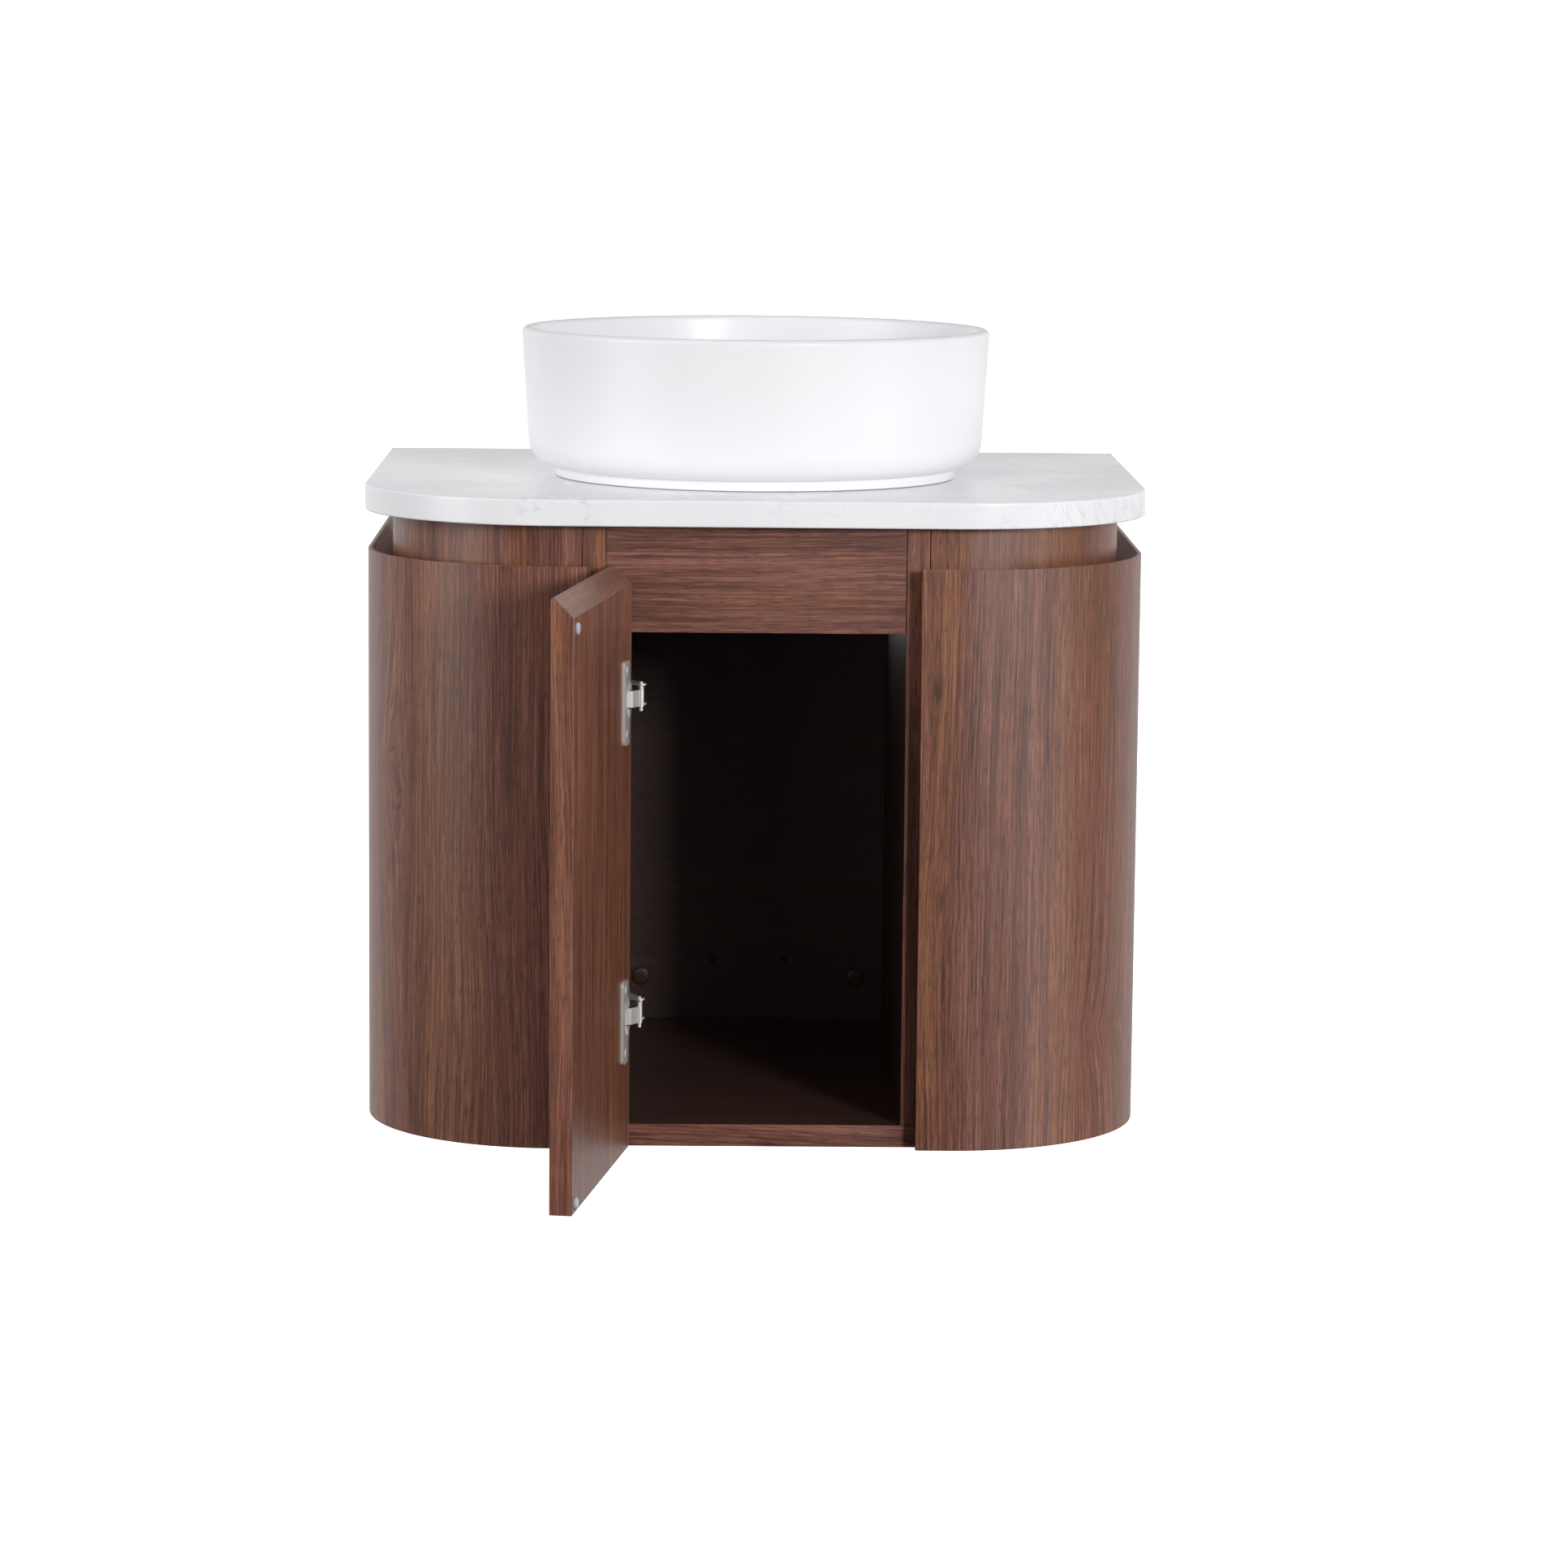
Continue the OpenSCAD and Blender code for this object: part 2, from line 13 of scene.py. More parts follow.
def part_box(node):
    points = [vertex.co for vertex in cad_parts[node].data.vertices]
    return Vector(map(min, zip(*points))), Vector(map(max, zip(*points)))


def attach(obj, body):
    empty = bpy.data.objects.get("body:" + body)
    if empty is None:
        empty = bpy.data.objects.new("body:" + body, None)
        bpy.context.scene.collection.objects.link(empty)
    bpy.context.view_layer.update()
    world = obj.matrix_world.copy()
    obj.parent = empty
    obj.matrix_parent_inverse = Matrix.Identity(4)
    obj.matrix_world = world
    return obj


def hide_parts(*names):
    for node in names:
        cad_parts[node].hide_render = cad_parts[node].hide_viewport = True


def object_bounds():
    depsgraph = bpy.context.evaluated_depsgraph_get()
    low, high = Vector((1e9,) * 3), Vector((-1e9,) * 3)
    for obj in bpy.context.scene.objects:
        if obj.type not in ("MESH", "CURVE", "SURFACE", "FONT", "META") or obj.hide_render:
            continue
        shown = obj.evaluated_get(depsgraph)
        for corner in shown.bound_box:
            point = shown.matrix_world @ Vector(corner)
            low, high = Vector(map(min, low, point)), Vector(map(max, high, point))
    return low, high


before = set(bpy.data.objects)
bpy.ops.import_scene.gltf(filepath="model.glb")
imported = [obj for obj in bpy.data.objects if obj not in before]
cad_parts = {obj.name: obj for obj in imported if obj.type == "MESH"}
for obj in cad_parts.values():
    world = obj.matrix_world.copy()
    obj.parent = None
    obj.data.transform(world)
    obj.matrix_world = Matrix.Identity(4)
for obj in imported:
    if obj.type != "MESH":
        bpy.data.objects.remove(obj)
cad_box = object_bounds()

MM = 0.001

# ---------------------------------------------------------------------------
# Sizes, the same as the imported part's
# ---------------------------------------------------------------------------
TOP_W, TOP_D, TOP_R = 0.600, 0.480, 0.150
OVERHANG = 2.5 * MM
SHELL_T = 19 * MM
LAND = 3 * MM
SIDE_T = 15 * MM
CARCASS_IN = OVERHANG + SHELL_T
ROOM_IN = CARCASS_IN + SIDE_T
FACE_Y = -(TOP_D - CARCASS_IN)
FRONT_Y = -(TOP_D - OVERHANG)
DOOR_T = 16.5 * MM
DOOR_OPEN = math.radians(98.8)
LINK_TURN = math.radians(21.28)
ARM_PIVOT = Vector((-86 * MM, FACE_Y + 18.5 * MM, 0))
CUP_IN, CUP_BORE_R, CUP_BORE_DEPTH = 21.5 * MM, 17.5 * MM, 11.5 * MM
EASE = 0.5 * MM
CORNER_STEPS = 48
WASTE_R = 22.5 * MM
WASTE_Y = -0.250
CAP_X, CAP_Z = 0.090, 0.193
# How high the cabinet hangs above the floor
MOUNT_HEIGHT = 0.36


def box_z(node):
    """Lowest and highest height of a CAD node."""
    low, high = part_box(node)
    return low.z, high.z


SHELL_LOW, SHELL_TOP = box_z("right_shell")
CARCASS_LOW, CARCASS_TOP = box_z("right_side_panel")
SHELL_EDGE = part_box("right_shell")[0].x
SIDE_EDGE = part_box("right_side_panel")[0].x
TOP_Z = box_z("benchtop")[1]
DOOR_HALF = SHELL_EDGE - 2 * MM
CUP_PIVOT = Vector((-DOOR_HALF + 9.7 * MM, FRONT_Y + DOOR_T - 5.85 * MM, 0))


# ---------------------------------------------------------------------------
# Shader graphs
# ---------------------------------------------------------------------------
class Graph:
    """Short calls that add nodes to one material, or to the world if no name is given."""

    def __init__(self, name=None):
        self.material = bpy.data.materials.new(name) if name else bpy.context.scene.world
        self.material.use_nodes = True
        self.tree = self.material.node_tree
        self.shader = self.tree.nodes["Principled BSDF" if name else "Background"]

    def put(self, socket, value):
        if isinstance(value, bpy.types.NodeSocket):
            self.tree.links.new(value, socket)
        else:
            socket.default_value = value

    def math(self, operation, a, b=0.0, c=0.0):
        node = self.tree.nodes.new("ShaderNodeMath")
        node.operation = operation
        for socket, value in zip(node.inputs, (a, b, c)):
            self.put(socket, value)
        return node.outputs[0]

    def add(self, a, b):
        return self.math("ADD", a, b)

    def times(self, a, b):
        return self.math("MULTIPLY", a, b)

    def power(self, a, b):
        return self.math("POWER", a, b)

    def vector(self, x, y, z=0.0):
        node = self.tree.nodes.new("ShaderNodeCombineXYZ")
        for socket, value in zip(node.inputs, (x, y, z)):
            self.put(socket, value)
        return node.outputs[0]

    def split(self, vector):
        node = self.tree.nodes.new("ShaderNodeSeparateXYZ")
        self.put(node.inputs[0], vector)
        return node.outputs

    def object_coords(self):
        return self.tree.nodes.new("ShaderNodeTexCoord").outputs["Object"]

    def uv(self, name):
        node = self.tree.nodes.new("ShaderNodeUVMap")
        node.uv_map = name
        return node.outputs[0]

    def noise(self, vector, scale=1.0, detail=2.0, rough=0.5, flat=False):
        node = self.tree.nodes.new("ShaderNodeTexNoise")
        node.noise_dimensions = "2D" if flat else "3D"
        self.put(node.inputs["Vector"], vector)
        self.put(node.inputs["Scale"], scale)
        self.put(node.inputs["Detail"], detail)
        self.put(node.inputs["Roughness"], rough)
        return node.outputs[0]

    def span(self, value, low, high, to_low=0.0, to_high=1.0, smooth=True):
        node = self.tree.nodes.new("ShaderNodeMapRange")
        node.interpolation_type = "SMOOTHSTEP" if smooth else "LINEAR"
        for socket, item in zip(node.inputs, (value, low, high, to_low, to_high)):
            self.put(socket, item)
        return node.outputs[0]

    def mix(self, share, a, b, blend="MIX"):
        node = self.tree.nodes.new("ShaderNodeMix")
        node.data_type = "RGBA"
        node.blend_type = blend
        for index, value in ((0, share), (6, a), (7, b)):
            self.put(node.inputs[index], value)
        return node.outputs[2]

    def bell(self, offset):
        """Falls from 1 at no offset towards 0, as exp(-offset squared)."""
        squared = self.power(offset, 2.0)
        return self.math("EXPONENT", self.times(squared, -1.0))

    def bump(self, height, distance, strength=1.0):
        node = self.tree.nodes.new("ShaderNodeBump")
        self.put(node.inputs["Strength"], strength)
        self.put(node.inputs["Distance"], distance)
        self.put(node.inputs["Height"], height)
        self.put(self.shader.inputs["Normal"], node.outputs[0])

    def set(self, **sockets):
        for name, value in sockets.items():
            label = name.replace("_", " ").title().replace("Ior", "IOR")
            self.put(self.shader.inputs[label], value)
        return self.material


def rgb(red, green, blue):
    """Shader colour from an sRGB triple of 0 to 255."""
    def linear(value):
        value /= 255
        return value / 12.92 if value <= 0.04045 else ((value + 0.055) / 1.055) ** 2.4
    return (linear(red), linear(green), linear(blue), 1.0)


# Walnut tones, each dark, middle and light: the purple-brown wood and the ochre wood
MAUVE = (rgb(69, 37, 30), rgb(118, 70, 57), rgb(154, 103, 86))
OCHRE = (rgb(82, 46, 28), rgb(128, 78, 51), rgb(165, 110, 76))
KNOT = rgb(48, 29, 26)

# Figure in the veneer: where it lies across and along the grain, its half width and half
# length in metres, how far it pulls the grain lines together, and how dark it is
FIGURES = (
    (0.425, 0.035, 0.016, 0.120, -0.80, 0.35),
    (0.452, -0.090, 0.014, 0.090, -0.60, 0.15),
    (0.933, 0.107, 0.006, 0.014, -0.85, 0.80),
    (0.928, -0.052, 0.009, 0.022, -0.70, 0.35),
)
# Kinks: where the lines bend aside across and along the grain, the half width and half
# length of the bend, and how far the lines move
KINKS = (
    (0.782, -0.158, 0.042, 0.045, -0.016),
    (0.400, 0.045, 0.030, 0.110, 0.012),
)
# Broad bands of one wood: where each lies across the grain, its half width, and how far it
# goes towards the ochre wood, or the mauve wood if less than nothing
HUE_BANDS = (
    (0.472, 0.020, 0.30),
    (0.523, 0.016, -0.20),
    (0.820, 0.014, 0.22),
    (0.893, 0.022, -0.14),
)

# How strongly the bands, the lines and the fibres change the tone
TONE_BAND, TONE_LINE, TONE_FIBRE = 0.95, 1.7, 1.5
# Noise range over which the hue turns, and the least and most ochre it reaches
HUE_SPAN = (0.38, 0.66, 0.08, 0.95)
# Noise range over which a pore line appears, and how dark the lines are
PORE_SPAN, PORE_DEPTH = (0.57, 0.70), 0.65
# How strong the grain of the inner boards is, beside 1 for the outer ones
LEVEL_CALM = 0.3
# Least and most roughness of the wood, the stone and the glaze
WOOD_ROUGH, STONE_ROUGH, GLAZE_ROUGH = (0.40, 0.48), (0.24, 0.30), (0.34, 0.38)
# Depth of the fine relief in each surface
WOOD_RELIEF, STONE_RELIEF, GLAZE_RELIEF = 0.00006, 0.00004, 0.00003
METAL_RELIEF, PLASTIC_RELIEF, BEECH_RELIEF = 0.00002, 0.00004, 0.00005


def walnut(g, across, along, dark=(1.0, 1.0, 1.0), figures=(), calm=1.0):
    """Walnut laminate: across and along are grain coordinates in metres.

    The colour is multiplied by dark, which paints shade on the inner boards, and a calm below 1
    weakens the grain.
    """
    a = across
    shadow = 0.0
    for centre, height, wide, tall, pull, depth in figures:
        du = g.add(a, -centre)
        dv = g.add(along, -height)
        r2 = g.add(g.power(g.math("ABSOLUTE", g.times(du, 1 / wide)), 2.0),
                   g.power(g.math("ABSOLUTE", g.times(dv, 1 / tall)), 2.0))
        weight = g.math("EXPONENT", g.times(r2, -1.0))
        core = g.math("EXPONENT", g.times(r2, -5.0))
        a = g.add(a, g.times(g.times(du, weight), pull))
        shadow = g.add(shadow, g.times(core, depth))

    for centre, height, wide, tall, shift in KINKS if figures else ():
        du = g.math("ABSOLUTE", g.add(a, -centre))
        dv = g.math("ABSOLUTE", g.add(along, -height))
        reach = g.math("EXPONENT", g.times(dv, -1 / tall))
        a = g.add(a, g.times(g.times(g.span(du, wide, 0.4 * wide), reach), shift))

    def layer(across_scale, along_scale, detail, rough=0.55, seed=0.0):
        """Noise drawn out along the grain, by its scale each way per metre."""
        place = g.vector(g.times(a, across_scale), g.times(along, along_scale), seed)
        return g.noise(place, detail=detail, rough=rough)

    slow = layer(9, 2.0, 1)
    quick = layer(55, 8, 1, seed=3)
    a = g.add(a, g.add(g.times(g.add(slow, -0.5), 0.030), g.times(g.add(quick, -0.5), 0.0035)))
    hue = layer(24, 0.7, 2, seed=5)
    for centre, wide, lean in HUE_BANDS if figures else ():
        off = g.math("ABSOLUTE", g.times(g.add(a, -centre), 1 / wide))
        hue = g.add(hue, g.times(g.bell(off), lean))
    band = layer(85, 2.0, 2, seed=7)
    line = layer(520, 6, 2, 0.6, seed=9)
    fibre = layer(1250, 40, 2, seed=11)
    pore = layer(1250, 75, 1, seed=13)
    tone = g.add(g.times(g.add(band, -0.5), TONE_BAND), g.times(g.add(line, -0.5), TONE_LINE))
    tone = g.add(tone, g.times(g.add(fibre, -0.5), TONE_FIBRE))
    tone = g.add(g.times(tone, calm), 0.5)
    ramps = []
    for low, middle, high in (MAUVE, OCHRE):
        half = g.mix(g.span(tone, 0.0, 0.5, smooth=False), low, middle)
        ramps.append(g.mix(g.span(tone, 0.5, 1.0, smooth=False), half, high))
    colour = g.mix(g.span(hue, *HUE_SPAN), *ramps)
    dash = g.span(pore, *PORE_SPAN)
    colour = g.mix(g.times(dash, PORE_DEPTH * calm), colour, MAUVE[0])
    if figures:
        colour = g.mix(shadow, colour, KNOT)
    # Painted shade: the colour is darkened channel by channel by dark
    colour = g.mix(1.0, colour, (*dark, 1), "MULTIPLY")
    relief = g.add(g.times(fibre, 0.35), g.times(dash, -1.0))
    g.bump(relief, WOOD_RELIEF, 0.5 * calm)
    return g.set(base_color=colour, roughness=g.span(line, 0.3, 0.7, *WOOD_ROUGH), ior=1.5,
                 specular_ior_level=0.6, coat_weight=0.18, coat_roughness=0.35)


def veneer(name, figures):
    """Walnut that follows a piece's own grain map."""
    g = Graph(name)
    across, along, _ = g.split(g.uv("grain"))
    return walnut(g, across, along, figures=figures)


def level_veneer(name, dark):
    """Walnut whose grain runs level, for boards that keep their CAD mesh, darkened by dark as
    painted shade.
    """
    g = Graph(name)
    x, y, z = g.split(g.object_coords())
    return walnut(g, g.add(y, z), x, dark, calm=LEVEL_CALM)


# Mineral specks in the benchtop: where each cluster lies from side to side and its half
# width in metres, and how dark it is
SPECK_CLUSTERS = (
    (-0.170, 0.013, 0.50),
    (-0.129, 0.009, 0.35),
    (0.018, 0.008, 0.15),
    (0.186, 0.010, 0.20),
)
# The stone's two whites, then its veins, its fine specks, its front flecks and its streaks
STONE_WHITE = (rgb(250, 250, 253), rgb(241, 242, 246))
VEIN_GREY, SPECK_GREY = rgb(168, 170, 178), rgb(170, 172, 180)
FLECK_GREY, STREAK_GREY = rgb(196, 198, 204), rgb(186, 188, 198)
# Where the flecks of the front edge and the streaks of the right edge begin and are full
FLECKS_Y = (-0.440, -0.462)
STREAKS_X = (0.20, 0.235)


def stone(name):
    """White quartz with faint clouds and veins, and marks on its front and right edges."""
    g = Graph(name)
    place = g.object_coords()
    cloud = g.noise(place, 9, 3, 0.55)
    warp = g.noise(place, 14, 3, 0.6)
    x, y, z = g.split(place)
    bent = g.vector(g.add(x, g.times(warp, 0.10)), g.add(y, g.times(warp, 0.06)), z)
    line = g.noise(bent, 7, 4, 0.6)
    vein = g.span(g.math("ABSOLUTE", g.add(line, -0.5)), 0.0, 0.012, 1.0, 0.0)
    where = g.span(g.noise(place, 6, 2, 0.5), 0.50, 0.66)
    speck = g.span(g.noise(place, 420, 2, 0.6), 0.62, 0.72)
    cluster = g.span(g.noise(place, 11, 2, 0.5), 0.58, 0.70)
    colour = g.mix(g.times(g.span(cloud, 0.35, 0.70), 0.5), *STONE_WHITE)
    colour = g.mix(g.times(g.times(vein, where), 0.20), colour, VEIN_GREY)
    colour = g.mix(g.times(g.times(speck, cluster), 0.2), colour, SPECK_GREY)
    grains = g.vector(g.times(x, 130), g.times(y, 60), g.times(z, 210))
    fleck = g.span(g.noise(grains, 1, 3, 0.6), 0.50, 0.70)
    front = g.span(y, *FLECKS_Y)
    for centre, wide, depth in SPECK_CLUSTERS:
        off = g.math("ABSOLUTE", g.times(g.add(x, -centre), 1 / wide))
        shown = g.times(g.times(fleck, g.bell(off)), front)
        colour = g.mix(g.times(shown, depth), colour, FLECK_GREY)
    slanted = g.times(g.add(x, g.times(z, 0.35)), 95)
    hair = g.noise(g.vector(slanted, 0.0, g.times(z, 14)), 1, 3, 0.6)
    streak = g.span(g.math("ABSOLUTE", g.add(hair, -0.5)), 0.0, 0.035, 1.0, 0.0)
    right = g.times(g.span(x, *STREAKS_X), g.span(z, TOP_Z - 1 * MM, TOP_Z - 4 * MM))
    colour = g.mix(g.times(g.times(streak, right), 0.30), colour, STREAK_GREY)
    g.bump(g.noise(place, 160, 2, 0.5), STONE_RELIEF, 0.3)
    return g.set(base_color=colour, roughness=g.span(cloud, 0.3, 0.7, *STONE_ROUGH), ior=1.5)


GLAZE_WHITE = (rgb(252, 252, 255), rgb(249, 249, 252))


def ceramic(name):
    """Satin white glaze, very slightly uneven."""
    g = Graph(name)
    place = g.object_coords()
    tone = g.noise(place, 7, 2, 0.5)
    grain = g.noise(place, 240, 3, 0.6)
    colour = g.mix(g.span(tone, 0.3, 0.7), *GLAZE_WHITE)
    g.bump(grain, GLAZE_RELIEF, 0.25)
    return g.set(base_color=colour, roughness=g.span(tone, 0.3, 0.7, *GLAZE_ROUGH), ior=1.5)


BRUSH_SCALE = (400, 400, 40)


def metal(name, colour, rough, metallic=1.0):
    """Plated or plain metal with faint brush marks and smudges."""
    g = Graph(name)
    axes = g.split(g.object_coords())
    brushed = g.noise(g.vector(*(g.times(v, s) for v, s in zip(axes, BRUSH_SCALE))), 1, 3, 0.6)
    smudge = g.noise(g.object_coords(), 60, 2, 0.5)
    tone = g.mix(g.times(smudge, 0.3), rgb(*colour), rgb(*(c - 18 for c in colour)))
    g.bump(brushed, METAL_RELIEF, 0.2)
    return g.set(base_color=tone, metallic=metallic,
                 roughness=g.add(g.times(brushed, 0.08), rough))


def plastic(name, colour, rough):
    """Moulded plastic or rubber with a fine surface texture."""
    g = Graph(name)
    place = g.object_coords()
    texture = g.noise(place, 900, 2, 0.6)
    tone = g.noise(place, 50, 2, 0.5)
    shade = g.mix(g.times(tone, 0.25), rgb(*colour), rgb(*(max(0, c - 14) for c in colour)))
    g.bump(texture, PLASTIC_RELIEF, 0.35)
    return g.set(base_color=shade, roughness=g.add(g.times(texture, 0.1), rough), ior=1.48)


def timber(name, colour):
    """Plain beech for the dowels, with grain along their length."""
    g = Graph(name)
    x, y, z = g.split(g.object_coords())
    stretched = g.vector(g.times(g.add(x, z), 500), g.times(y, 500), g.times(z, 30))
    lines = g.noise(stretched, 1, 3, 0.6)
    shade = g.mix(g.span(lines, 0.3, 0.7), rgb(*colour), rgb(*(c - 34 for c in colour)))
    g.bump(lines, BEECH_RELIEF, 0.4)
    return g.set(base_color=shade, roughness=0.6, ior=1.45)


# Painted shade for the cabinet's inside: how much of each colour channel of the walnut is left
INSIDE_PAINTED_SHADE = (0.34, 0.43, 0.58)

MATERIALS = {
    "walnut": veneer("walnut_laminate", figures=FIGURES),
    # The inside walnut is the same laminate darkened with painted shade
    "walnut_inside": level_veneer("walnut_laminate_painted_shade", dark=INSIDE_PAINTED_SHADE),
    "stone": stone("white_quartz"),
    "ceramic": ceramic("satin_ceramic"),
    "nickel": metal("nickel_plate", (226, 223, 219), 0.38, 0.72),
    "bright_nickel": metal("bright_nickel_plate", (246, 245, 243), 0.20, 0.55),
    "chrome": metal("chromed_brass", (232, 232, 234), 0.08),
    "steel": metal("nickel_screw", (226, 226, 226), 0.26, 0.6),
    "black_steel": metal("browned_screw", (62, 42, 35), 0.5, 0.2),
    "rubber": plastic("black_rubber", (34, 34, 36), 0.62),
    "white_plastic": plastic("white_nylon", (226, 226, 222), 0.42),
    # The bead's grey is painted shadow: it stands for the contact shadow under the basin foot
    "bead": plastic("silicone_bead_painted_contact_shadow", (150, 151, 155), 0.45),
    "dot": plastic("clear_bumper", (190, 194, 200), 0.12),
    "beech": timber("beech_dowel", (206, 170, 120)),
}


# ---------------------------------------------------------------------------
# Mesh helpers
# ---------------------------------------------------------------------------
def finish_piece(name, bm, material, body, nodes, inside=None, flat=()):
    """Turns a bmesh into a piece that rides on a body and stands for CAD nodes.

    Faces that look in the direction inside get the walnut darkened with painted shade.
    The faces in flat keep their own normals, and the rest are smooth.
    """
    bmesh.ops.recalc_face_normals(bm, faces=bm.faces)
    if inside:
        for face in bm.faces:
            face.material_index = int(face.normal.dot(Vector(inside)) > 0.9)
    mesh = bpy.data.meshes.new(name)
    for face in bm.faces:
        face.smooth = face not in flat
    bm.to_mesh(mesh)
    bm.free()
    obj = bpy.data.objects.new(name, mesh)
    bpy.context.scene.collection.objects.link(obj)
    mesh.materials.append(MATERIALS[material])
    if inside:
        # Second slot: walnut darkened with painted shade for the faces towards the inside
        mesh.materials.append(MATERIALS["walnut_inside"])
    modifier = obj.modifiers.new("weighted_normal", "WEIGHTED_NORMAL")
    modifier.keep_sharp = True
    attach(obj, body)
    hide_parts(*nodes)


def shrink(points, amount):
    """A convex outline of (u, v) points moved in by an amount, corner by corner."""
    count = len(points)
    area = sum(points[i][0] * points[(i + 1) % count][1] - points[(i + 1) % count][0] * points[i][1]
               for i in range(count))
    sign = 1 if area > 0 else -1
    lines = []
    for i in range(count):
        (ax, ay), (bx, by) = points[i], points[(i + 1) % count]
        length = math.hypot(bx - ax, by - ay)
        nx, ny = -(by - ay) / length * sign, (bx - ax) / length * sign
        lines.append((nx, ny, nx * ax + ny * ay + amount))
    moved = []
    for i in range(count):
        (a, b, c), (d, e, f) = lines[i - 1], lines[i]
        det = a * e - b * d
        moved.append(((c * e - b * f) / det, (a * f - c * d) / det))
    return moved


def rounded(points, radius, steps=3):
    """A convex outline with each corner turned into an arc."""
    result = []
    count = len(points)
    for i in range(count):
        p = Vector(points[i])
        before = (Vector(points[i - 1]) - p).normalized()
        after = (Vector(points[(i + 1) % count]) - p).normalized()
        half = math.acos(max(-1.0, min(1.0, before.dot(after)))) / 2
        reach = radius / math.tan(half)
        centre = p + (before + after).normalized() * (radius / math.sin(half))
        start = p + before * reach - centre
        end = p + after * reach - centre
        turn = start.angle_signed(end)
        for k in range(steps + 1):
            spin = Matrix.Rotation(-turn * k / steps, 2)
            result.append(centre + spin @ start)
    return result


def loft(bm, rings, closed_ends=True):
    """Faces between rings of vertices that have the same count. Returns the rings' vertices."""
    made = [[bm.verts.new(p) for p in ring] for ring in rings]
    count = len(rings[0])
    for low, high in zip(made, made[1:]):
        for i in range(count):
            j = (i + 1) % count
            bm.faces.new((low[i], low[j], high[j], high[i]))
    if closed_ends:
        bm.faces.new(made[0])
        bm.faces.new(list(reversed(made[-1])))
    return made


def circle(radius, steps):
    """Points (u, v) evenly spaced round a circle."""
    angles = [2 * math.pi * k / steps for k in range(steps)]
    return [(radius * math.cos(a), radius * math.sin(a)) for a in angles]


def bore(bm, centres, radius, depth, steps=48):
    """Round blind holes at (x, z) centres in the largest flat face that looks along +Y.

    Returns the faces that stand for that face and the holes.
    """
    bmesh.ops.recalc_face_normals(bm, faces=bm.faces)
    face = max(bm.faces, key=lambda f: f.normal.y * f.calc_area())
    level = face.calc_center_median().y
    edges = list(face.edges)
    bmesh.ops.delete(bm, geom=[face], context="FACES_ONLY")
    made = []
    for x, z in centres:
        mouth, end = [[bm.verts.new((x + u, y, z + v)) for u, v in circle(radius, steps)]
                      for y in (level, level - depth)]
        for k in range(steps):
            j = (k + 1) % steps
            wall = bm.faces.new((mouth[k], mouth[j], end[j], end[k]))
            edges.append(wall.edges[0])
            made.append(wall)
        made.append(bm.faces.new(end))
    filled = bmesh.ops.triangle_fill(bm, use_beauty=True, use_dissolve=False, edges=edges)
    return set(made + [item for item in filled["geom"] if isinstance(item, bmesh.types.BMFace)])


# Where each board's veneer is cut from the figured sheet, across and along the grain in metres
GRAIN_AT = {
    "left_shell": (0.0, 0.0),
    "right_shell": (0.35, 0.0),
    "left_side_panel": (1.1, 0.0),
    "right_side_panel": (1.9, 0.3),
    "left_partition": (2.6, 0.1),
    "right_partition": (3.1, 0.1),
    "front_rail": (3.9, 0.3),
    "bottom_panel": (4.3, 0.7),
    "door": (4.6, 0.0),
}


def grain_map(bm, node, along_of, across_of):
    """Writes the grain map: each face's loops get (across, along) in metres."""
    offset = GRAIN_AT[node]
    layer = bm.loops.layers.uv.new("grain")
    bm.normal_update()
    for face in bm.faces:
        for loop in face.loops:
            loop[layer].uv = (offset[0] + across_of(face, loop.vert.co),
                              offset[1] + along_of(face, loop.vert.co))


# ---------------------------------------------------------------------------
# Curved shells and side panels
# ---------------------------------------------------------------------------
STRAIGHT = TOP_D - TOP_R
ARC = TOP_R * math.pi / 2
CORNER_STATIONS = [STRAIGHT + ARC * k / CORNER_STEPS for k in range(CORNER_STEPS + 1)]


def plan_point(inset, s):
    """Point of the right half's plan outline, inset by a distance, at station s in metres."""
    if s <= STRAIGHT:
        return TOP_W / 2 - inset, -s
    if s <= STRAIGHT + ARC:
        angle = (s - STRAIGHT) / TOP_R
        radius = TOP_R - inset
        return TOP_W / 2 - TOP_R + radius * math.cos(angle), -STRAIGHT - radius * math.sin(angle)
    return TOP_W / 2 - TOP_R - (s - STRAIGHT - ARC), -(TOP_D - inset)


def plan_station(x, y):
    """How far along the outline a point near it lies."""
    x = abs(x)
    if y > -STRAIGHT:
        return -y
    if x < TOP_W / 2 - TOP_R:
        return STRAIGHT + ARC + (TOP_W / 2 - TOP_R - x)
    return STRAIGHT + TOP_R * math.atan2(-STRAIGHT - y, x - (TOP_W / 2 - TOP_R))


def plan_inset(x, y):
    """How far inside the benchtop's outline a point near it lies."""
    x = abs(x)
    if y > -STRAIGHT:
        return TOP_W / 2 - x
    if x < TOP_W / 2 - TOP_R:
        return TOP_D + y
    return TOP_R - math.hypot(x - (TOP_W / 2 - TOP_R), STRAIGHT + y)


def half_outline(inset):
    """The right half's plan outline from the wall round to the front."""
    return [plan_point(inset, s) for s in [0.0, *CORNER_STATIONS]]


def mirrored(right, z):
    """A level ring of vertices from its right half."""
    return [(x, y, z) for x, y in right] + [(-x, y, z) for x, y in reversed(right)]


